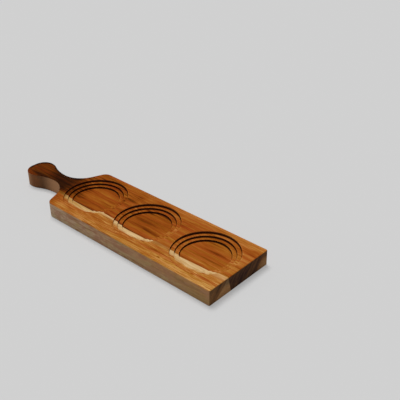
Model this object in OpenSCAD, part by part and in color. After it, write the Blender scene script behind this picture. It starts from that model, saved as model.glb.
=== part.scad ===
// Tasting board with a paddle handle and a row of round stepped wells,
// sawn and routed from one piece of wood.
// X runs along the board from the handle to the free end, Y runs across it and
// Z points up. The origin is the middle of the underside's enclosing rectangle.

/* [Body] */
// Length of the body, from the free end to the shoulder corners
body_l = 271.5; // [262:0.5:320]
// Width of the body
body_w = 100; // [90:0.5:130]
// Thickness of the whole board, handle and body alike
board_t = 20.5; // [12:0.5:40]
// Radius of the two upright corners at the free end
end_corner_r = 2; // [1.5:0.5:8]
// Radius of the two shoulder corners, seen from above
shoulder_corner_r = 11; // [2:0.5:14]
// Radius that eases every edge of the top and of the underside
edge_r = 1.2; // [0.4:0.1:1.8]

/* [Handle] */
// Length of the handle, from the shoulder corners to its tip
handle_l = 95.5; // [84:0.5:140]
// Width of the neck where it is narrowest
neck_w = 19; // [15:0.5:30]
// Slope of the shoulders, in degrees from square across the board
shoulder_slope = 22; // [5:1:40]
// Radius of the hollow between a shoulder and the neck
shoulder_hollow_r = 32.5; // [20:0.5:45]
// Width of the bulb where it is widest
bulb_w = 38; // [36:0.5:60]
// Radius of the flanks where the bulb starts to narrow
bulb_flank_r = 27.5; // [20:0.5:60]
// Radius of the two rounded corners of the bulb
bulb_corner_r = 16; // [6:0.5:17]
// Radius of the slight bow across the end of the bulb
bulb_end_r = 80; // [30:1:200]

/* [Wells] */
// Number of wells in the row
well_count = 3; // [1:1:3]
// Diameter of a well at its rim
well_d = 82; // [60:0.5:88]
// Distance between the centres of neighbouring wells
well_pitch = 93.6; // [86:0.2:98]
// Wood left between the free end and the rim of the nearest well
well_margin = 8.5; // [4:0.5:12]
// Number of steps from the rim down to the floor
step_count = 3; // [1:1:4]
// Height of each step
step_h = 1.9; // [1.4:0.1:3]
// Width of the ledge that each step leaves
ledge_w = 5.5; // [2:0.5:8]
// Radius that eases the rim and the edge of each ledge
rim_r = 0.5; // [0.2:0.1:0.8]
// Radius in the corner at the foot of each step
foot_r = 0.5; // [0.2:0.1:0.6]

/* [Hidden] */
$fn = 180;
wood = [0.66, 0.38, 0.17];
// How far a cutter reaches past the surface that it cuts
over = 1;
// How far the outline's chords may stray from their arcs
curve_error = 0.02;
// Number of facets across an eased edge
ease_steps = 4;

body_half = body_w / 2;
neck_half = neck_w / 2;
bulb_half = bulb_w / 2;
free_end_x = (body_l + handle_l) / 2;
shoulder_x = free_end_x - body_l;
tip_x = shoulder_x - handle_l;

// The hollow of radius shoulder_hollow_r touches the sloping shoulder at one end
// and runs level along the neck at the other
hollow_rise = shoulder_hollow_r * (1 - sin(shoulder_slope));
shoulder_fall = body_half - neck_half - hollow_rise;
neck_x = shoulder_x - shoulder_fall * tan(shoulder_slope)
    - shoulder_hollow_r * cos(shoulder_slope);

// The bowed end of the bulb meets its two rounded corners without a kink
bow_x = tip_x + bulb_end_r;
bow_angle = asin((bulb_half - bulb_corner_r) / (bulb_end_r - bulb_corner_r));
bulb_x = bow_x - (bulb_end_r - bulb_corner_r) * cos(bow_angle);

// An S-shaped flank joins bulb and neck, level at both ends: the flank's radius is
// given, and the radius of the long hollow follows from the room between them
flank_run = neck_x - bulb_x;
flank_rise = bulb_half - neck_half;
neck_hollow_r = (pow(flank_run, 2) + pow(flank_rise, 2)) / (2 * flank_rise) - bulb_flank_r;
flank_angle = asin(flank_run / (neck_hollow_r + bulb_flank_r));

// Arcs along the outline's far side, in order from the free end to the tip: centre,
// radius, first angle, last angle, and 0 after a straight run or 1 where the arc
// carries on from the one before. An arc that turns back is a hollow.
side_arcs = [
    // Upright corner at the free end
    [[free_end_x - end_corner_r, body_half - end_corner_r], end_corner_r, 0, 90, 0],
    // Shoulder corner
    [[shoulder_x + shoulder_corner_r * tan(45 - shoulder_slope / 2),
      body_half - shoulder_corner_r],
     shoulder_corner_r, 90, 180 - shoulder_slope, 0],
    // Hollow between the shoulder and the neck
    [[neck_x, neck_half + shoulder_hollow_r], shoulder_hollow_r, -shoulder_slope, -90, 0],
    // Long hollow from the neck towards the bulb
    [[neck_x, neck_half + neck_hollow_r], neck_hollow_r, -90, -90 - flank_angle, 1],
    // Flank of the bulb
    [[bulb_x, bulb_half - bulb_flank_r], bulb_flank_r, 90 - flank_angle, 90, 1],
    // Corner of the bulb
    [[bulb_x, bulb_half - bulb_corner_r], bulb_corner_r, 90, 180 - bow_angle, 1]];
// The bow across the tip is one arc from side to side
tip_bow = [[bow_x, 0], bulb_end_r, 180 - bow_angle, 180 + bow_angle, 1];

function is_hollow(arc) = arc[3] < arc[2];
// Number of chords that follow an arc to within curve_error, even so that the middle of
// the tip is itself a point of the outline
function chord_count(arc) =
    2 * ceil(abs(arc[3] - arc[2]) / (4 * acos(1 - curve_error / arc[1])));
// Point i of an arc, moved into the board by inset
function arc_point(arc, i, inset) =
    let (angle = arc[2] + (arc[3] - arc[2]) * i / chord_count(arc),
         radius = is_hollow(arc) ? arc[1] + inset : arc[1] - inset)
    arc[0] + radius * [cos(angle), sin(angle)];

function side_points(inset) =
    [for (arc = side_arcs) for (i = [arc[4] : chord_count(arc)]) arc_point(arc, i, inset)];
function tip_points(inset) = [for (i = [1 : chord_count(tip_bow) - 1]) arc_point(tip_bow, i, inset)];
function mirrored(points) = [for (i = [len(points) - 1 : -1 : 0]) [points[i].x, -points[i].y]];
// The board seen from above, moved in all round by inset
function outline(inset) = concat(side_points(inset), tip_points(inset), mirrored(side_points(inset)));

// Levels from below the underside to above the top, each as height and inset. The inset
// follows a quarter of a circle of radius edge_r at both faces.
ease_angles = [for (i = [0 : ease_steps]) 90 * i / ease_steps];
function ease_depth(angle) = edge_r * (1 - sin(angle));
function ease_inset(angle) = edge_r * (1 - cos(angle));
ease_down = [for (angle = ease_angles) [board_t - ease_depth(angle), ease_inset(angle)]];
ease_up = [for (i = [ease_steps : -1 : 0]) [board_t - ease_down[i][0], ease_down[i][1]]];
levels = concat([[-over, edge_r]], ease_up, ease_down, [[board_t + over, edge_r]]);

// Wells, counted from the free end
first_well_x = free_end_x - well_margin - well_d / 2;
function well_x(i) = first_well_x - i * well_pitch;
function step_radius(k) = well_d / 2 - k * ledge_w;
function step_foot_z(k) = board_t - (k + 1) * step_h;

// A skin from level to level, closed past both faces of the board
module eased_skin() {
    rings = [for (level = levels) [for (p = outline(level[1])) [p.x, p.y, level[0]]]];
    n = len(rings[0]);
    last = len(rings) - 1;
    bottom_cap = [for (j = [0 : n - 1]) j];
    top_cap = [for (j = [n - 1 : -1 : 0]) last * n + j];
    wall = [for (k = [0 : last - 1]) for (j = [0 : n - 1])
        [k * n + j, (k + 1) * n + j, (k + 1) * n + (j + 1) % n, k * n + (j + 1) % n]];
    polyhedron([for (ring = rings) each ring], concat([bottom_cap, top_cap], wall), convexity = 4);
}

// The board before the wells are cut
module blank() {
    intersection() {
        eased_skin();
        translate([tip_x - over, -body_half - over, 0])
            cube([body_l + handle_l + 2 * over, body_w + 2 * over, board_t]);
    }
}

// Section of the cutter that rounds the edge of a hole. The edge is at [0, 0], with the
// wall of the hole below it and the ledge to its right.
module easing_section(r) {
    difference() {
        translate([-over, -r]) square([r + over, r + over]);
        translate([r, -r]) circle(r);
    }
}

// Half the section of one step: a round pocket, rounded at its foot and eased at its rim
module step_section(radius, foot_z, rim_z, top_z) {
    difference() {
        translate([0, foot_z]) square([radius, top_z - foot_z]);
        translate([radius - foot_r, foot_z]) difference() {
            square(foot_r);
            translate([0, foot_r]) circle(foot_r);
        }
    }
    translate([radius, rim_z]) easing_section(rim_r);
}

// A well: pockets that narrow step by step down to the floor
module well() {
    rotate_extrude()
        for (k = [0 : step_count - 1])
            step_section(step_radius(k), step_foot_z(k), board_t - k * step_h, board_t + over);
}

module board() {
    color(wood) difference() {
        blank();
        for (i = [0 : well_count - 1]) translate([well_x(i), 0, 0]) well();
    }
}

board();
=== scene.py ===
"""Looks of a wooden tasting board with a paddle handle and three round stepped wells.

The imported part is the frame. A finely cut copy of its form, with soft edges, stands for it
and carries one solid wood material, so that each well and edge cuts through the same figure.
"""

import math
from random import Random

import bpy
from mathutils import Euler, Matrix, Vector
from mathutils.geometry import delaunay_2d_cdt


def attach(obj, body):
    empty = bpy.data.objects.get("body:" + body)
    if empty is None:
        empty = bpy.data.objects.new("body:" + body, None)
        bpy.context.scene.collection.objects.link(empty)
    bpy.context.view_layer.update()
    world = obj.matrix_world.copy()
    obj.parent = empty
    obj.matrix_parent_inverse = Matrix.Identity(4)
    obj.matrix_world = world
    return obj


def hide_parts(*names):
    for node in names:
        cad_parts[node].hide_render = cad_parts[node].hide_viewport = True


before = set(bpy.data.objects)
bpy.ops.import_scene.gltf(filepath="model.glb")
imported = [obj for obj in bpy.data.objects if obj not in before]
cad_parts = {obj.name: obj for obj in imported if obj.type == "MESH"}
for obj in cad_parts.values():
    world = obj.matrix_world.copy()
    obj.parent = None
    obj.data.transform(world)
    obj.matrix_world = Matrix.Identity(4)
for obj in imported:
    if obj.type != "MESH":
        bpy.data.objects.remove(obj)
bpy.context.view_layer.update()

MM = 0.001
QUARTER = math.pi / 2

# Sizes of the board, in millimetres, as in the part
BODY_L = 271.5
BODY_W = 100
BOARD_T = 20.5
END_CORNER_R = 2
SHOULDER_CORNER_R = 11
EDGE_R = 1.2
HANDLE_L = 95.5
NECK_W = 19
SHOULDER_SLOPE = math.radians(22)
SHOULDER_HOLLOW_R = 32.5
BULB_W = 38
BULB_FLANK_R = 27.5
BULB_CORNER_R = 16
BULB_END_R = 80
WELL_COUNT = 3
WELL_R = 41
WELL_PITCH = 93.6
WELL_MARGIN = 8.5
STEP_COUNT = 3
STEP_H = 1.9
LEDGE_W = 5.5
RIM_R = 0.5
FOOT_R = 0.5

FREE_END_X = (BODY_L + HANDLE_L) / 2
SHOULDER_X = FREE_END_X - BODY_L
TIP_X = SHOULDER_X - HANDLE_L
FIRST_WELL_X = FREE_END_X - WELL_MARGIN - WELL_R
WELL_XS = [FIRST_WELL_X - i * WELL_PITCH for i in range(WELL_COUNT)]
FLOOR_Z = BOARD_T - STEP_COUNT * STEP_H

# Longest chord on the outline's arcs and longest stretch between points on its straight sides
CURVE_STEP = 0.8
STRAIGHT_STEP = 3.0
# An arc smaller than this turns in as small angles as one of this radius
SMALL_ARC_R = 12
# Two points of the outline that lie closer than this are one
SAME_POINT = 0.02
# Facets across an eased edge, up the plain wall, across each small radius of a well, round it
EASE_STEPS = 7
WALL_STEPS = 6
ROUND_STEPS = 5
WELL_SIDES = 256
# Rings across a ledge, as shares of its width, and across the floor, as shares of its radius
LEDGE_RINGS = (0.33, 0.67)
FLOOR_RINGS = (0.86, 0.7, 0.52, 0.34, 0.16)
# Spacing of the points inside the flat faces, and how far each strays, as a share of it
LATTICE = 3.2
STRAY = 0.2
# Room that those points leave to the rims of the wells and to the outline
RIM_ROOM = 1.2
EDGE_ROOM = 2.2
TOP_SEED = 11
UNDERSIDE_SEED = 12
# Settings of the triangulation: keep what lies inside the border, and merge only equal points
INSIDE_ONLY = 1
MERGE_DISTANCE = 1e-7


# Outline


def side_arcs():
    """Arcs along the far side, from the free end to the tip: centre, radius and both angles."""
    body_half = BODY_W / 2
    neck_half = NECK_W / 2
    bulb_half = BULB_W / 2
    slope = SHOULDER_SLOPE
    shoulder_fall = body_half - neck_half - SHOULDER_HOLLOW_R * (1 - math.sin(slope))
    neck_x = SHOULDER_X - shoulder_fall * math.tan(slope) - SHOULDER_HOLLOW_R * math.cos(slope)
    bow_x = TIP_X + BULB_END_R
    bow_angle = math.asin((bulb_half - BULB_CORNER_R) / (BULB_END_R - BULB_CORNER_R))
    bulb_x = bow_x - (BULB_END_R - BULB_CORNER_R) * math.cos(bow_angle)
    run = neck_x - bulb_x
    rise = bulb_half - neck_half
    neck_hollow_r = (run**2 + rise**2) / (2 * rise) - BULB_FLANK_R
    flank = math.asin(run / (neck_hollow_r + BULB_FLANK_R))
    shoulder_in = SHOULDER_CORNER_R * math.tan(QUARTER / 2 - slope / 2)
    return [
        ((FREE_END_X - END_CORNER_R, body_half - END_CORNER_R), END_CORNER_R, 0, QUARTER),
        ((SHOULDER_X + shoulder_in, body_half - SHOULDER_CORNER_R),
         SHOULDER_CORNER_R, QUARTER, 2 * QUARTER - slope),
        ((neck_x, neck_half + SHOULDER_HOLLOW_R), SHOULDER_HOLLOW_R, -slope, -QUARTER),
        ((neck_x, neck_half + neck_hollow_r), neck_hollow_r, -QUARTER, -QUARTER - flank),
        ((bulb_x, bulb_half - BULB_FLANK_R), BULB_FLANK_R, QUARTER - flank, QUARTER),
        ((bulb_x, bulb_half - BULB_CORNER_R), BULB_CORNER_R, QUARTER, 2 * QUARTER - bow_angle),
        ((bow_x, 0), BULB_END_R, 2 * QUARTER - bow_angle, 2 * QUARTER),
    ]


def outline():
    """Points and outward directions round the board, counter-clockwise from the free end."""
    side = [((FREE_END_X, 0), (1, 0))]
    for centre, radius, first, last in side_arcs():
        outward = 1 if last > first else -1
        count = math.ceil(abs(last - first) * max(radius, SMALL_ARC_R) / CURVE_STEP)
        for i in range(count + 1):
            angle = first + (last - first) * i / count
            away = (math.cos(angle), math.sin(angle))
            point = (centre[0] + radius * away[0], centre[1] + radius * away[1])
            side.append((point, (outward * away[0], outward * away[1])))
    far = []
    for point, away in side:
        if far:
            far += straight_between(far[-1], (point, away))
        far.append((point, away))
    near = [((p[0], -p[1]), (a[0], -a[1])) for p, a in reversed(far[1:-1])]
    return drop_doubles(far + near)


def straight_between(one, two):
    """Extra points on a straight side longer than one step."""
    (p, _), (q, away) = one, two
    count = int(math.dist(p, q) / STRAIGHT_STEP)
    points = []
    for i in range(1, count + 1):
        t = i / (count + 1)
        points.append(((p[0] + (q[0] - p[0]) * t, p[1] + (q[1] - p[1]) * t), away))
    return points


def drop_doubles(points):
    """The same points without those that lie on the one before."""
    kept = []
    for point, away in points:
        if not kept or math.dist(point, kept[-1][0]) > SAME_POINT:
            kept.append((point, away))
    return kept


def far_side():
    """Points of the far half of the outline, in order along the board."""
    return sorted((p for p, _ in outline() if p[1] >= 0), key=lambda p: p[0])


def half_width(side, x):
    """Half the board's width at x, or nothing near its ends and past them."""
    if x < TIP_X + EDGE_ROOM or x > FREE_END_X - EDGE_ROOM:
        return 0
    one, two = next((a, b) for a, b in zip(side, side[1:]) if a[0] <= x <= b[0] and b[0] > a[0])
    return one[1] + (two[1] - one[1]) * (x - one[0]) / (two[0] - one[0])


# Mesh of the board


class Mesh:
    """Vertices and faces that are gathered ring by ring."""

    def __init__(self):
        self.points = []
        self.faces = []

    def ring(self, points):
        """Adds the points and gives their indices."""
        start = len(self.points)
        self.points += points
        return list(range(start, start + len(points)))

    def band(self, lower, upper):
        """Quads between two closed rings of equal length."""
        n = len(lower)
        for j in range(n):
            k = (j + 1) % n
            self.faces.append((lower[j], lower[k], upper[k], upper[j]))

    def sheet(self, border, holes, height, upwards, seed):
        """Flat face inside a border ring, with round holes, each as ring, centre and radius."""
        rings = [border] + [ring for ring, centre, radius in holes]
        known = [i for ring in rings for i in ring]
        flat = [Vector(self.points[i][:2]) for i in known]
        edges = []
        start = 0
        for ring in rings:
            n = len(ring)
            edges += [(start + j, start + (j + 1) % n) for j in range(n)]
            start += n
        flat += lattice_points(holes, seed)
        corners, _, triangles, origins, _, _ = delaunay_2d_cdt(
            flat, edges, [], INSIDE_ONLY, MERGE_DISTANCE)
        index = []
        for corner, origin in zip(corners, origins):
            if origin and origin[0] < len(known):
                index.append(known[origin[0]])
            else:
                index += self.ring([(corner.x, corner.y, height)])
        for triangle in triangles:
            middle = sum((corners[i] for i in triangle), Vector((0, 0))) / 3
            if any((middle - Vector(centre)).length < radius for _, centre, radius in holes):
                continue
            a, b, c = (corners[i] for i in triangle)
            turns_left = (b - a).cross(c - a) > 0
            face = [index[i] for i in triangle]
            self.faces.append(face if turns_left == upwards else face[::-1])


def lattice_points(holes, seed):
    """Slightly uneven lattice over the board, clear of the outline and of the holes."""
    rng = Random(seed)
    side = far_side()
    points = []
    rows = int(BODY_W / LATTICE) + 1
    columns = int((BODY_L + HANDLE_L) / LATTICE) + 1
    for row in range(rows):
        for column in range(columns):
            x = TIP_X + (column + 0.5 * (row % 2) + rng.uniform(-STRAY, STRAY)) * LATTICE
            y = -BODY_W / 2 + (row + rng.uniform(-STRAY, STRAY)) * LATTICE
            clear = all(math.dist((x, y), centre) > radius + RIM_ROOM for _, centre, radius in holes)
            if clear and abs(y) < half_width(side, x) - EDGE_ROOM:
                points.append(Vector((x, y)))
    return points


def side_profile():
    """Height and inset up the outer side, from the edge of the underside to that of the top."""
    easing = []
    for i in range(EASE_STEPS + 1):
        angle = QUARTER * i / EASE_STEPS
        easing.append((EDGE_R * (1 - math.sin(angle)), EDGE_R * (1 - math.cos(angle))))
    wall = BOARD_T - 2 * EDGE_R
    plain = [(EDGE_R + wall * i / WALL_STEPS, 0) for i in range(1, WALL_STEPS)]
    return easing[::-1] + plain + [(BOARD_T - depth, inset) for depth, inset in easing]


def well_profile():
    """Radius and height down a well, from the rim at the top face to the edge of its floor."""
    profile = []
    for k in range(STEP_COUNT):
        radius = WELL_R - k * LEDGE_W
        rim_z = BOARD_T - k * STEP_H
        foot_z = rim_z - STEP_H
        for i in range(ROUND_STEPS + 1):
            angle = QUARTER + QUARTER * i / ROUND_STEPS
            profile.append((radius + RIM_R + RIM_R * math.cos(angle),
                            rim_z - RIM_R + RIM_R * math.sin(angle)))
        for i in range(ROUND_STEPS + 1):
            angle = -QUARTER * i / ROUND_STEPS
            profile.append((radius - FOOT_R + FOOT_R * math.cos(angle),
                            foot_z + FOOT_R + FOOT_R * math.sin(angle)))
        if k < STEP_COUNT - 1:
            next_rim = radius - LEDGE_W + RIM_R
            for share in LEDGE_RINGS:
                ledge_r = radius - FOOT_R + (next_rim - radius + FOOT_R) * share
                profile.append((ledge_r, foot_z))
    return profile


def circle(x, radius, z):
    """Points round a well whose centre is at x."""
    turn = 2 * math.pi / WELL_SIDES
    return [(x + radius * math.cos(turn * i), radius * math.sin(turn * i), z)
            for i in range(WELL_SIDES)]


def add_well(made, x):
    """Adds the walls, ledges and floor of the well at x, and gives the ring of its rim."""
    rings = [made.ring(circle(x, radius, z)) for radius, z in well_profile()]
    floor_r = WELL_R - (STEP_COUNT - 1) * LEDGE_W - FOOT_R
    rings += [made.ring(circle(x, floor_r * share, FLOOR_Z)) for share in FLOOR_RINGS]
    for outer, inner in zip(rings, rings[1:]):
        made.band(outer, inner)
    hub = made.ring([(x, 0, FLOOR_Z)])[0]
    last = rings[-1]
    for j in range(WELL_SIDES):
        made.faces.append((last[j], last[(j + 1) % WELL_SIDES], hub))
    return rings[0]


def build_board():
    made = Mesh()
    round_board = outline()
    skin = []
    for z, inset in side_profile():
        skin.append(made.ring([(p[0] - away[0] * inset, p[1] - away[1] * inset, z)
                               for p, away in round_board]))
    for lower, upper in zip(skin, skin[1:]):
        made.band(lower, upper)
    holes = [(add_well(made, x), (x, 0), WELL_R + RIM_R) for x in WELL_XS]
    made.sheet(skin[-1], holes, BOARD_T, True, TOP_SEED)
    made.sheet(skin[0], [], 0, False, UNDERSIDE_SEED)
    mesh = bpy.data.meshes.new("tasting_board")
    mesh.from_pydata([(x * MM, y * MM, z * MM) for x, y, z in made.points], [], made.faces)
    mesh.validate()
    mesh.shade_smooth()
    board = bpy.data.objects.new("tasting_board", mesh)
    bpy.context.scene.collection.objects.link(board)
    return board


# Shader wires


class Wire:
    """An output socket in a node tree. Sums with other wires and with numbers add Math nodes."""

    def __init__(self, tree, socket=None):
        self.tree = tree
        self.socket = socket

    def node(self, kind, settings=None, inputs=None, output=0):
        """Adds a node, sets it, fills its inputs with values or wires, and gives an output."""
        made = self.tree.nodes.new(kind)
        for name, value in (settings or {}).items():
            if name == "stops":
                set_stops(made.color_ramp, value)
            else:
                setattr(made, name, value)
        for name, value in (inputs or {}).items():
            if isinstance(value, Wire):
                self.tree.links.new(value.socket, made.inputs[name])
            else:
                made.inputs[name].default_value = value
        return Wire(self.tree, made.outputs[output])

    def math(self, operation, *values):
        return self.node("ShaderNodeMath", {"operation": operation}, dict(enumerate(values)))

    def __add__(self, other):
        return self.math("ADD", self, other)

    def __radd__(self, other):
        return self.math("ADD", other, self)

    def __sub__(self, other):
        return self.math("SUBTRACT", self, other)

    def __rsub__(self, other):
        return self.math("SUBTRACT", other, self)

    def __mul__(self, other):
        return self.math("MULTIPLY", self, other)

    def __rmul__(self, other):
        return self.math("MULTIPLY", other, self)

    def __truediv__(self, other):
        return self.math("DIVIDE", self, other)

    def __pow__(self, other):
        return self.math("POWER", self, other)

    def __neg__(self):
        return self.math("MULTIPLY", self, -1)

    def __abs__(self):
        return self.math("ABSOLUTE", self)

    def at_least(self, other):
        return self.math("MAXIMUM", self, other)

    def at_most(self, other):
        return self.math("MINIMUM", self, other)

    def ease(self, low, high):
        """0 below low and 1 above high, with a smooth rise between them. low may be the greater."""
        settings = {"interpolation_type": "SMOOTHSTEP"}
        if low < high:
            return self.node("ShaderNodeMapRange", settings, {0: self, 1: low, 2: high})
        return 1 - self.node("ShaderNodeMapRange", settings, {0: self, 1: high, 2: low})

    def mixed(self, base, top):
        """Colour base where this wire is 0 and colour top where it is 1."""
        # The Mix node has its colours at inputs 6 and 7 and at output 2
        settings = {"data_type": "RGBA", "clamp_factor": True}
        return self.node("ShaderNodeMix", settings, {0: self, 6: base, 7: top}, 2)


def set_stops(ramp, stops):
    while len(ramp.elements) > 1:
        ramp.elements.remove(ramp.elements[-1])
    ramp.elements[0].position = stops[0][0]
    ramp.elements[0].color = stops[0][1]
    for position, colour in stops[1:]:
        ramp.elements.new(position).color = colour


def seen(red, green, blue):
    """Colour as the eye reads it, 0 to 255 a channel, turned into light."""
    light = []
    for value in (red, green, blue):
        share = value / 255
        light.append(share / 12.92 if share <= 0.04045 else ((share + 0.055) / 1.055) ** 2.4)
    return (*light, 1)


# Colours of the wood

# Heartwood, from its darkest figure to its palest
HEART_TONES = [
    (0.0, seen(40, 17, 4)),
    (0.1, seen(74, 33, 4)),
    (0.2, seen(104, 48, 6)),
    (0.36, seen(140, 68, 15)),
    (0.5, seen(156, 83, 24)),
    (0.65, seen(170, 102, 40)),
    (0.8, seen(186, 124, 60)),
    (1.0, seen(206, 154, 92)),
]
# The hue setting that changes nothing
NEUTRAL_HUE = 0.5
# Colour of the painted shade on the walls of the wells and in the corners of their steps
PAINTED_WELL_SHADE = seen(48, 17, 9)
SAP_CREAM = seen(218, 186, 138)
SAP_TAN = seen(182, 138, 76)
SAP_DULL = seen(140, 104, 58)
SAP_OLIVE = seen(112, 74, 20)
# Sawn long sides, beside the handle and beside the free end, and what varies them
SAWN_BY_HANDLE = seen(226, 202, 172)
SAWN_BY_END = seen(192, 146, 98)
SAWN_LOW = seen(196, 186, 146)
SAWN_LOW_BY_END = seen(130, 92, 52)
SAWN_STREAK = seen(146, 106, 78)
SAWN_PURPLE = seen(176, 132, 110)
SAWN_OLIVE = seen(196, 178, 128)
SAWN_HANDLE = seen(197, 146, 105)
END_DARK = seen(40, 35, 37)
END_PALE = seen(138, 97, 60)
END_FAR_CORNER = seen(172, 130, 88)
END_SAP = seen(182, 122, 72)

# Where things lie in the wood

# How far a face has to turn towards an axis to count as facing it, from barely to fully
FACES_UP = (0.15, 0.7)
FACES_ACROSS = (0.4, 0.85)
FACES_ALONG = (0.45, 0.95)
# Depths between which the last ledge gives way to the floor
FLOOR_DEPTHS = (4.2, 5.2)
# How far past its rim a well still colours the wood
WELL_REACH = 2
# The painted shade at the foot of a step: how it fades inward and outward of the step's wall
CORNER_INNER = (0.9, 0.3)
CORNER_OUTER = (-0.4, 0.1)
# Direction from a well's centre in which the painted shade of the corner is widest, on the far
# and handle side, the cosines of the angle to it over which it widens, and how much wider it
# gets: inward, outward, and outward at the topmost step
WIDEST_X = -0.57
WIDEST_Y = 0.82
WIDENING = (0.2, 1.0)
WIDER_IN = 0.8
WIDER_OUT = 0.4
WIDER_TOP = 1.2
# The painted highlight on the narrow band just outside a step's wall: how it fades inward and
# outward
RIM_HIGHLIGHT_INNER = (0.1, -0.3)
RIM_HIGHLIGHT_OUTER = (-2.0, -0.6)
# Place across the board where the heartwood ends, and where the sapwood behind it ends
HEART_EDGE_Y = -21
SAP_EDGE_Y = -26
# Distances past the heartwood's edge between which it blends into what lies behind it
EDGE_BLEND = (-0.3, 0.5)

# Tone of the heartwood, of the paler strip and of the handle before anything varies it
HEART_TONE = 0.37
STRIP_TONE = 0.62
HANDLE_TONE = 0.18

# Soft single marks in the heartwood: x, y, half length, half width and change of tone
HEART_MARKS = [
    (-75, -9, 9, 3.0, -0.12),
    (-70, -7.5, 4, 1.4, -0.1),
    (-53, 4, 34, 34, 0.1),
    (-8, 35, 18, 12, -0.09),
    (86, 34, 18, 12, -0.06),
    (178, 30, 12, 14, -0.05),
    (84, 0, 12, 14, 0.05),
    (-50, 5, 26, 1.3, -0.07),
    (-46, 12.5, 24, 1.0, -0.08),
    (-60, 19, 16, 1.4, -0.07),
    (-80, 36, 18, 9, -0.06),
    (-12, 22, 20, 4.5, -0.3),
    (-20, 16, 7, 5, -0.18),
    (-6, 5, 9, 7, 0.12),
    (22, 23.5, 9, 1.8, -0.18),
    (34, 5, 24, 4, -0.08),
    (58, 16, 16, 3.6, -0.14),
    (50, 27, 20, 2.2, -0.1),
    (78, 22, 14, 5.5, -0.13),
    (76, 12, 5, 9, 0.16),
    (72, 2, 9, 5, 0.1),
    (140, 12, 26, 2.6, -0.13),
    (128, 24, 20, 2.0, -0.12),
    (150, -3.4, 26, 2.0, -0.13),
    (172, 8, 12, 4, 0.13),
    (176, 28.5, 12, 1.4, -0.14),
    (178, 1, 11, 1.4, -0.13),
    (40, 14, 40, 26, -0.07),
    (134, 14, 36, 24, -0.05),
    (134, -10, 30, 6, 0.05),
    (172, 0, 14, 20, 0.05),
]

# The same in the paler strip along the near edge
STRIP_MARKS = [
    (166, -36.5, 20, 1.6, -0.2),
    (150, -40, 4.5, 1.6, -0.26),
    (101, -42, 3.2, 1.5, -0.5),
    (92, -34.5, 17, 1.8, -0.13),
    (-52, -37.5, 8, 1.3, -0.18),
    (20, -42, 26, 1.4, -0.08),
    (60, -38, 22, 1.2, -0.08),
]

# Sharp growth lines of the heartwood, dark below the line and fading upward: x, y, half length,
# fade and change of tone
GROWTH_LINES = [
    (-30, -20.6, 60, 4.5, -0.16),
    (40, -20.6, 34, 4.5, -0.2),
    (134, -18.6, 30, 5.0, -0.16),
    (40, -8.6, 30, 8, -0.16),
    (134, -4.6, 30, 4, -0.15),
    (30, 3, 26, 3, -0.07),
    (134, 9.5, 26, 3.5, -0.08),
    (-55, 9, 30, 2.5, -0.06),
]

# Stretches of the top on which the sapwood shows: x, half length and how much
SAP_ON_TOP = [(-92, 32, 0.8), (-12, 40, 0.8), (82, 34, 0.4), (180, 52, 0.4)]

# Lighter and darker patches of the end grain: y, depth, half width, half height and change
END_PATCHES = [(45, 18, 16, 14, 1.5), (0, 4, 14, 8, 0.12), (-50, 3, 9, 10, -0.16)]


# Figure of the wood


def stretch(along, middle, half_l):
    """1 at the middle of a stretch, falling to 0 at its ends."""
    return (1 - ((along - middle) / half_l) ** 2).at_least(0) ** 1.5


def spot(x, y, centre_x, centre_y, half_l, half_w):
    """1 at the middle of a long soft patch, falling to 0 at its rim."""
    off = ((x - centre_x) / half_l) ** 2 + ((y - centre_y) / half_w) ** 2
    return (1 - off).at_least(0) ** 1.5


def growth_line(x, y, centre_x, line_y, half_l, fade):
    """1 just above a line along the board, falling to 0 a fade further across and at its ends."""
    along = (1 - ((x - centre_x) / half_l) ** 2).at_least(0)
    above = y - line_y
    return along * above.ease(-0.25, 0.35) * (1 - above / fade).at_least(0)


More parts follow.
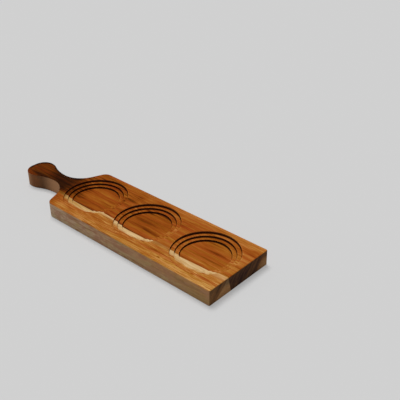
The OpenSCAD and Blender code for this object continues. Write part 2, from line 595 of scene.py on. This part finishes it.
class Grain:
    """A point of the wood in millimetres, the way its surface faces, and the figure there."""

    def __init__(self, tree):
        self.start = Wire(tree)
        place = self.start.node("ShaderNodeTexCoord", output="Object")
        in_mm = self.start.node("ShaderNodeVectorMath", {"operation": "SCALE"},
                                {0: place, "Scale": 1 / MM})
        normal = self.start.node("ShaderNodeNewGeometry", output="Normal")
        self.x, self.y, self.z = (self.part_of(in_mm, axis) for axis in "XYZ")
        self.to_near = -self.y
        self.depth = BOARD_T - self.z
        self.on_floor = self.depth.ease(*FLOOR_DEPTHS)
        along, across, up = (abs(self.part_of(normal, axis)) for axis in "XYZ")
        self.upright = 1 - up.ease(*FACES_UP)
        self.long_side = across.ease(*FACES_ACROSS)
        self.end_side = along.ease(*FACES_ALONG)
        in_well = 0
        for well_x in WELL_XS:
            in_well = in_well + self.spot(well_x, 0, WELL_R + WELL_REACH, WELL_R + WELL_REACH)
        self.in_well = in_well.ease(0.0, 0.02)
        self.outside = self.upright * (1 - self.in_well)
        # The grain wanders as it runs along the board, and curls most on the floors of the wells
        self.drift = self.wander(120, 70, 60, 2.0) * 7
        self.ripple = self.wander(34, 14, 14, 3.0) * 4.0
        curl = self.wander(15, 7, 7, 2.0) * 3.2
        self.warped = self.y + self.ripple * 0.7
        self.across = self.y + self.drift + self.ripple + curl * (0.35 + self.on_floor * 0.65)
        # Layers of growth: broad bands, narrow streaks, thin lines and fine fibres
        self.broad = self.layer(260, 12, 16, 2.0)
        self.streak = self.layer(90, 3.2, 4.5, 3.0, 0.6)
        self.thin = self.layer(26, 1.2, 1.8, 2.0, 0.6)
        self.fibre = self.layer(16, 0.6, 0.9, 2.0, 0.6)

    def part_of(self, vector, axis):
        return self.start.node("ShaderNodeSeparateXYZ", None, {0: vector}, axis)

    def noise(self, x, y, z, detail, rough=0.5):
        """Even noise from 0 to 1, with details about one unit across."""
        place = self.start.node("ShaderNodeCombineXYZ", None, {0: x, 1: y, 2: z})
        values = {"Vector": place, "Scale": 1.0, "Detail": detail, "Roughness": rough}
        return self.start.node("ShaderNodeTexNoise", None, values, "Fac")

    def wander(self, length, width, height, detail):
        """Noise around 0 in patches of the given size."""
        return self.noise(self.x / length, self.y / width, self.z / height, detail) - 0.5

    def layer(self, length, width, height, detail, rough=0.5):
        """Noise around 0 in streaks of the given size, which follow the wandering grain."""
        return self.noise(self.x / length, self.across / width, self.z / height, detail, rough) - 0.5

    def spot(self, centre_x, centre_y, half_l, half_w):
        return spot(self.x, self.y, centre_x, centre_y, half_l, half_w)

    def marks(self, places):
        """Sum of the changes of tone by soft single marks."""
        total = 0
        for mark_x, mark_y, half_l, half_w, change in places:
            total = total + spot(self.x, self.warped, mark_x, mark_y, half_l, half_w) * change
        return total

    def steps(self):
        """Distance inward from each step's wall, 1 on its far and handle side, and how much
        further outward the painted shade in its corner reaches there."""
        for well_x in WELL_XS:
            off_x = self.x - well_x
            radius = (off_x ** 2 + self.y ** 2) ** 0.5
            side = ((self.y * WIDEST_Y + off_x * WIDEST_X) / radius).ease(*WIDENING)
            for k in range(STEP_COUNT):
                yield WELL_R - k * LEDGE_W - radius, side, WIDER_OUT if k else WIDER_TOP

    def step_foot_shade(self):
        """1 in the narrow corner at the foot of each step of the wells, where shade is painted."""
        mask = 0
        for inward, side, outward in self.steps():
            inner = (inward - side * WIDER_IN).ease(*CORNER_INNER)
            mask = mask + inner * (inward + side * outward).ease(*CORNER_OUTER)
        return mask.at_most(1)

    def step_rim_highlight(self):
        """1 on the narrow band just outside the wall of each step of the wells, where a highlight is
        painted.
        """
        mask = 0
        for inward, _, _ in self.steps():
            mask = mask + inward.ease(*RIM_HIGHLIGHT_INNER) * inward.ease(*RIM_HIGHLIGHT_OUTER)
        return mask


def past_heart(grain):
    """Distance past the edge where the heartwood ends, towards the near side."""
    x = grain.x
    wave = (grain.noise(x / 28, 0, grain.z / 20, 2.0) - 0.5) * 1.2
    at_free_end = x.ease(95, 165) * 1.6
    lean = grain.depth * x.ease(40, 150) * 0.24
    by_middle_well = stretch(x, -19, 7) * 2.2
    return HEART_EDGE_Y + at_free_end + lean + wave + by_middle_well - grain.y


def handle_share(grain):
    """1 on the handle, where the wood is darkest, and 0 on the body, with a bowed fade between."""
    bow = ((grain.y + 4) / 26) ** 2 * 18
    return (grain.x + bow).ease(-74, -104)


def heart_tone(grain, figure, past_edge):
    """Tone of the heartwood: it rises towards the free end and the far edge, falls in the wells."""
    x, y = grain.x, grain.y
    far_edge = y.ease(34, 50) * 0.1 + y.ease(45.4, 47.2) * 0.06
    root = (x + y * y * 0.014).ease(-68, -90)
    on_ledge = grain.depth.ease(1.4, 2.0) * (1 - grain.on_floor)
    by_strip = past_edge.ease(-3.2, -0.3)
    tone = HEART_TONE + x.ease(-120, 190) * 0.19 + far_edge * x.ease(-90, 60) - root * 0.17
    # Painted shade darkens the ledges towards the far side, under the far walls
    tone = tone - grain.on_floor * 0.05 - on_ledge * y.ease(8, 34) * 0.05 - by_strip * 0.09
    # A painted highlight lightens the narrow band just outside each step's wall
    tone = tone + figure * (1 - grain.on_floor * 0.25) + grain.step_rim_highlight() * 0.06 * (1 - root)
    for line_x, line_y, half_l, fade, change in GROWTH_LINES:
        tone = tone + growth_line(x, grain.warped, line_x, line_y, half_l, fade) * change
    return tone + grain.marks(HEART_MARKS)


def strip_tone(grain, figure):
    """Tone of the paler strip along the near edge, palest on the very edge, with a painted highlight
    there.
    """
    x, to_near = grain.x, grain.to_near
    dull_patch = spot(x, grain.y, 66, -45, 40, 10)
    tone = STRIP_TONE + x.ease(80, 180) * 0.12 - x.ease(-70, -92) * 0.2 - dull_patch * 0.05
    tone = tone - to_near.ease(41, 35) * 0.03 + to_near.ease(40, 49) * 0.06
    # A thin painted highlight along the eased near edge
    tone = tone + to_near.ease(47.4, 49.2) * x.ease(20, 150) * 0.1
    tone = tone + figure * 0.8 + grain.thin * 0.4 + grain.fibre * 0.6
    return tone + grain.marks(STRIP_MARKS)


def handle_tone(grain, figure):
    """Tone of the handle: darkest at the neck, in long natural streaks, and warmer on the bulb."""
    x, y = grain.x, grain.y
    streaks = grain.layer(55, 2.6, 9, 3.0, 0.65)
    neck = stretch(x, -118, 36)
    near_bulb = spot(x, y, -154, -12, 28, 5.5)
    neck_edge = (y - 6.0 - (x + 126) ** 2 / 133).ease(0, 2.6) * x.ease(-156, -150)
    bulb_edge = (((x + 163) / 20.5) ** 2 + (y / 19) ** 2).ease(0.58, 0.86) * x.ease(-148, -154)
    far_rim = (neck_edge + bulb_edge) * y.ease(-13, -5)
    tone = HANDLE_TONE + figure * 0.4 - neck * 0.15 - near_bulb * 0.14 - far_rim * 0.2
    return tone + streaks * (0.18 + neck * 0.12)


def heart_colour(grain, tone):
    """Colour of a tone. Some layers lean towards yellow and some towards red."""
    colour = grain.start.node("ShaderNodeValToRGB", {"stops": HEART_TONES}, {0: tone})
    lean = grain.noise(grain.x / 150, grain.across / 4.0 + 7, grain.z / 6, 2.0, 0.6) - 0.5
    yellow = grain.to_near.ease(36, 48) * 0.003 + grain.x.ease(0, 170) * 0.002
    hue = NEUTRAL_HUE + lean * 0.05 + yellow
    return grain.start.node("ShaderNodeHueSaturation", None, {"Hue": hue, "Color": colour})


# Sapwood


def sap_share(grain, near, handle):
    """How much the pale sapwood shows: fully below the top, and in places on it."""
    x = grain.x
    lean = grain.depth * (0.8 + x.ease(170, 183) * 0.2) - grain.end_side * 7.0
    near_edge = SAP_EDGE_Y - x.ease(140, 175) * 1.5 - lean + grain.drift * 0.2
    near_edge = near_edge + stretch(x, -10, 30) * 1.6
    on_top = 0
    for middle_x, half_l, share in SAP_ON_TOP:
        on_top = on_top + stretch(x, middle_x, half_l) * share
    shows = (on_top + grain.depth.ease(0.3, 2.0)).at_most(1)
    return near * (grain.y - near_edge).ease(-2.0, 1.6) * shows * (1 - handle)


def sap_colour(grain):
    """Cream in the wells, tan on the top, olive towards the shoulder."""
    x, depth = grain.x, grain.depth
    creamy = 0.46 + depth.ease(3, 5) * 0.12 - x.ease(-30, -50) * 0.34 - x.ease(-66, -78) * 0.2
    creamy = creamy + x.ease(90, 140) * 0.08 + grain.streak * 1.4 + grain.thin * 2.2
    colour = creamy.mixed(SAP_TAN, SAP_CREAM)
    dull_top = stretch(x, 84, 30) * depth.ease(1.5, 0.2) * 1.6
    colour = dull_top.mixed(colour, SAP_DULL)
    return x.ease(-78, -92).mixed(colour, SAP_OLIVE)


# Sawn sides and end grain


def sawn_share(grain, handle):
    """How much the grey of the sawn long sides covers the figure: less on the handle, but for
    its neck and tip."""
    dull = 0.7 - handle * 0.45 + stretch(grain.x, -124, 26) * 0.66 + grain.x.ease(-160, -176) * 0.6
    return grain.outside * grain.long_side * dull


def sawn_colour(grain, handle):
    """Grey-brown of the sawn long sides, in streaks and in purple-brown and olive blotches."""
    x = grain.x
    low = grain.depth.ease(8, 15)
    colour = x.ease(-90, 170).mixed(SAWN_BY_HANDLE, SAWN_BY_END)
    colour = (low * 0.5).mixed(colour, SAWN_LOW)
    streaky = 0.3 - x.ease(-30, -80) * 0.14 + grain.streak * 3 + grain.thin * 3.6 - low * 0.2
    colour = streaky.mixed(colour, SAWN_STREAK)
    colour = (low * x.ease(120, 168) * 0.45).mixed(colour, SAWN_LOW_BY_END)
    blotch = grain.noise(x / 16, grain.y / 20, grain.z / 5, 2.0, 0.6)
    colour = (blotch.ease(0.46, 0.6) * 0.7).mixed(colour, SAWN_PURPLE)
    olive = blotch.ease(0.46, 0.34) * (0.6 - x.ease(90, 150) * 0.5)
    colour = olive.mixed(colour, SAWN_OLIVE)
    return handle.mixed(colour, SAWN_HANDLE)


def end_share(grain, sap, handle):
    """How much the end grain's own colour covers the figure on the two ends."""
    return grain.outside * grain.end_side * (0.9 - sap * 0.1) * (1 - handle * 0.6)


def end_colour(grain, sap):
    """Colour of the end grain, which drinks oil and turns dark, palest low at the far corner."""
    y, depth = grain.y, grain.depth
    rings = grain.noise(y / 7 + depth / 9, depth / 30, grain.x / 60, 3.0, 0.6) - 0.5
    lighter = 0.3 + rings * 1.8 + sap * (0.16 + depth.ease(4, 15) * 0.9)
    lighter = lighter + grain.to_near.ease(34, 42) * 0.2 - stretch(y, 6, 32) * 0.2
    for middle_y, middle_depth, half_w, half_h, change in END_PATCHES:
        lighter = lighter + spot(y, depth, middle_y, middle_depth, half_w, half_h) * change
    colour = lighter.mixed(END_DARK, END_PALE)
    colour = spot(y, depth, 46, 19, 13, 13).mixed(colour, END_FAR_CORNER)
    return (sap * depth.ease(5, 13) * 0.5).mixed(colour, END_SAP)


# Wood material

# How rough the oiled wood is and how much more so its end grain, and how much it mirrors
ROUGHNESS = 0.4
ROUGHER_END = 0.2
SHEEN = 0.01
# Depth of the pores, in metres, and how strongly they show
PORE_DEPTH = 0.06 * MM
PORE_STRENGTH = 0.5


def wood_material():
    wood = bpy.data.materials.new("oiled_wood")
    wood.use_nodes = True
    tree = wood.node_tree
    shader = tree.nodes["Principled BSDF"]
    grain = Grain(tree)
    figure = grain.broad * 0.36 + grain.streak * 0.5 + grain.thin * 0.6 + grain.fibre * 0.6
    past_edge = past_heart(grain)
    near = past_edge.ease(*EDGE_BLEND)
    handle = handle_share(grain)
    sap = sap_share(grain, near, handle)
    tone = heart_tone(grain, figure, past_edge) * (1 - near) + strip_tone(grain, figure) * near
    tone = tone * (1 - handle) + handle_tone(grain, figure) * handle
    colour = sap.mixed(heart_colour(grain, tone), sap_colour(grain))
    colour = sawn_share(grain, handle).mixed(colour, sawn_colour(grain, handle))
    end_grain = end_share(grain, sap, handle)
    colour = end_grain.mixed(colour, end_colour(grain, sap))
    # Painted shade: the walls of the wells and the corner at the foot of each step are darkened
    wall = grain.in_well * (1 - (1 - grain.upright) ** 2)
    painted_shade = wall.at_least(grain.step_foot_shade()) * (1 - near) * 0.9
    colour = painted_shade.mixed(colour, PAINTED_WELL_SHADE)
    tree.links.new(colour.socket, shader.inputs["Base Color"])

    roughness = ROUGHNESS + grain.fibre * 0.2 + end_grain * ROUGHER_END
    tree.links.new(roughness.socket, shader.inputs["Roughness"])
    shader.inputs["Specular IOR Level"].default_value = SHEEN
    pores = grain.noise(grain.x / 6, grain.across / 0.2, grain.z / 0.3, 1.0).ease(0.62, 0.74)
    bump = grain.start.node("ShaderNodeBump", None, {
        "Strength": PORE_STRENGTH, "Distance": PORE_DEPTH, "Height": grain.fibre * 0.6 - pores})
    tree.links.new(bump.socket, shader.inputs["Normal"])
    return wood


# Stage

PAPER = seen(208, 208, 208)
PAPER_ROUGHNESS = 0.9
# Half the floor's width, in metres
FLOOR_HALF = 4.0
# Share of the floor's own colour in what the camera sees of it
FLOOR_GLOW = 0.52
WORLD_LIGHT = 0.2
# Direction from the board to the lamp, its strength and how wide it looks, in degrees
KEY_DIRECTION = (-0.3, 0.13, 1.0)
KEY_STRENGTH = 2.66
KEY_ANGLE = 26
# The camera: focal length and sensor in millimetres, place in metres and turn in degrees
LENS = 61.22
SENSOR_W = 36
CAMERA_PLACE = (0.5475, -0.4677, 0.4608)
CAMERA_TURN = (59.181, 0.252, 41.878)


def build_camera():
    data = bpy.data.cameras.new("camera")
    data.lens = LENS
    data.sensor_width = SENSOR_W
    camera = bpy.data.objects.new("camera", data)
    camera.location = CAMERA_PLACE
    camera.rotation_euler = Euler([math.radians(angle) for angle in CAMERA_TURN])
    bpy.context.scene.collection.objects.link(camera)
    bpy.context.scene.camera = camera


def build_key_light():
    data = bpy.data.lights.new("key", "SUN")
    data.energy = KEY_STRENGTH
    data.angle = math.radians(KEY_ANGLE)
    lamp = bpy.data.objects.new("key", data)
    lamp.rotation_euler = Vector(KEY_DIRECTION).to_track_quat("Z", "Y").to_euler()
    bpy.context.scene.collection.objects.link(lamp)


def build_floor():
    mesh = bpy.data.meshes.new("floor")
    corners = [(-1, -1), (1, -1), (1, 1), (-1, 1)]
    mesh.from_pydata([(x * FLOOR_HALF, y * FLOOR_HALF, 0) for x, y in corners], [], [(0, 1, 2, 3)])
    mesh.materials.append(paper_material())
    floor = bpy.data.objects.new("floor", mesh)
    bpy.context.scene.collection.objects.link(floor)


def paper_material():
    paper = bpy.data.materials.new("pale_floor")
    paper.use_nodes = True
    tree = paper.node_tree
    shader = tree.nodes["Principled BSDF"]
    shader.inputs["Base Color"].default_value = PAPER
    shader.inputs["Roughness"].default_value = PAPER_ROUGHNESS
    shader.inputs["Specular IOR Level"].default_value = 0
    # To the camera and in reflections the floor glows a little, which keeps the shadow light
    start = Wire(tree)
    to_camera, to_gloss, through = (start.node("ShaderNodeLightPath", output=f"Is {kind} Ray")
                                    for kind in ("Camera", "Glossy", "Transmission"))
    share = (to_camera + to_gloss + through) * FLOOR_GLOW
    glow = start.node("ShaderNodeEmission", None, {"Color": PAPER})
    lit = Wire(tree, shader.outputs["BSDF"])
    both = start.node("ShaderNodeMixShader", None, {0: share, 1: lit, 2: glow})
    tree.links.new(both.socket, tree.nodes["Material Output"].inputs["Surface"])
    return paper


def build_world():
    world = bpy.data.worlds.new("studio")
    world.use_nodes = True
    bpy.context.scene.world = world
    tree = world.node_tree
    background = tree.nodes["Background"]
    background.inputs["Color"].default_value = (1, 1, 1, 1)
    background.inputs["Strength"].default_value = WORLD_LIGHT
    # The camera sees the floor's own colour behind its far edge
    start = Wire(tree)
    backdrop = start.node("ShaderNodeBackground", None, {"Color": PAPER})
    to_camera = start.node("ShaderNodeLightPath", output="Is Camera Ray")
    soft = Wire(tree, background.outputs["Background"])
    both = start.node("ShaderNodeMixShader", None, {0: to_camera, 1: soft, 2: backdrop})
    tree.links.new(both.socket, tree.nodes["World Output"].inputs["Surface"])


build_camera()
build_world()
build_floor()
build_key_light()

board = build_board()
board.data.materials.append(wood_material())
even = board.modifiers.new("even_shading", "WEIGHTED_NORMAL")
even.weight = 100
even.keep_sharp = False
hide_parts("board")
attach(board, "root")

bpy.context.scene.view_settings.view_transform = "Standard"
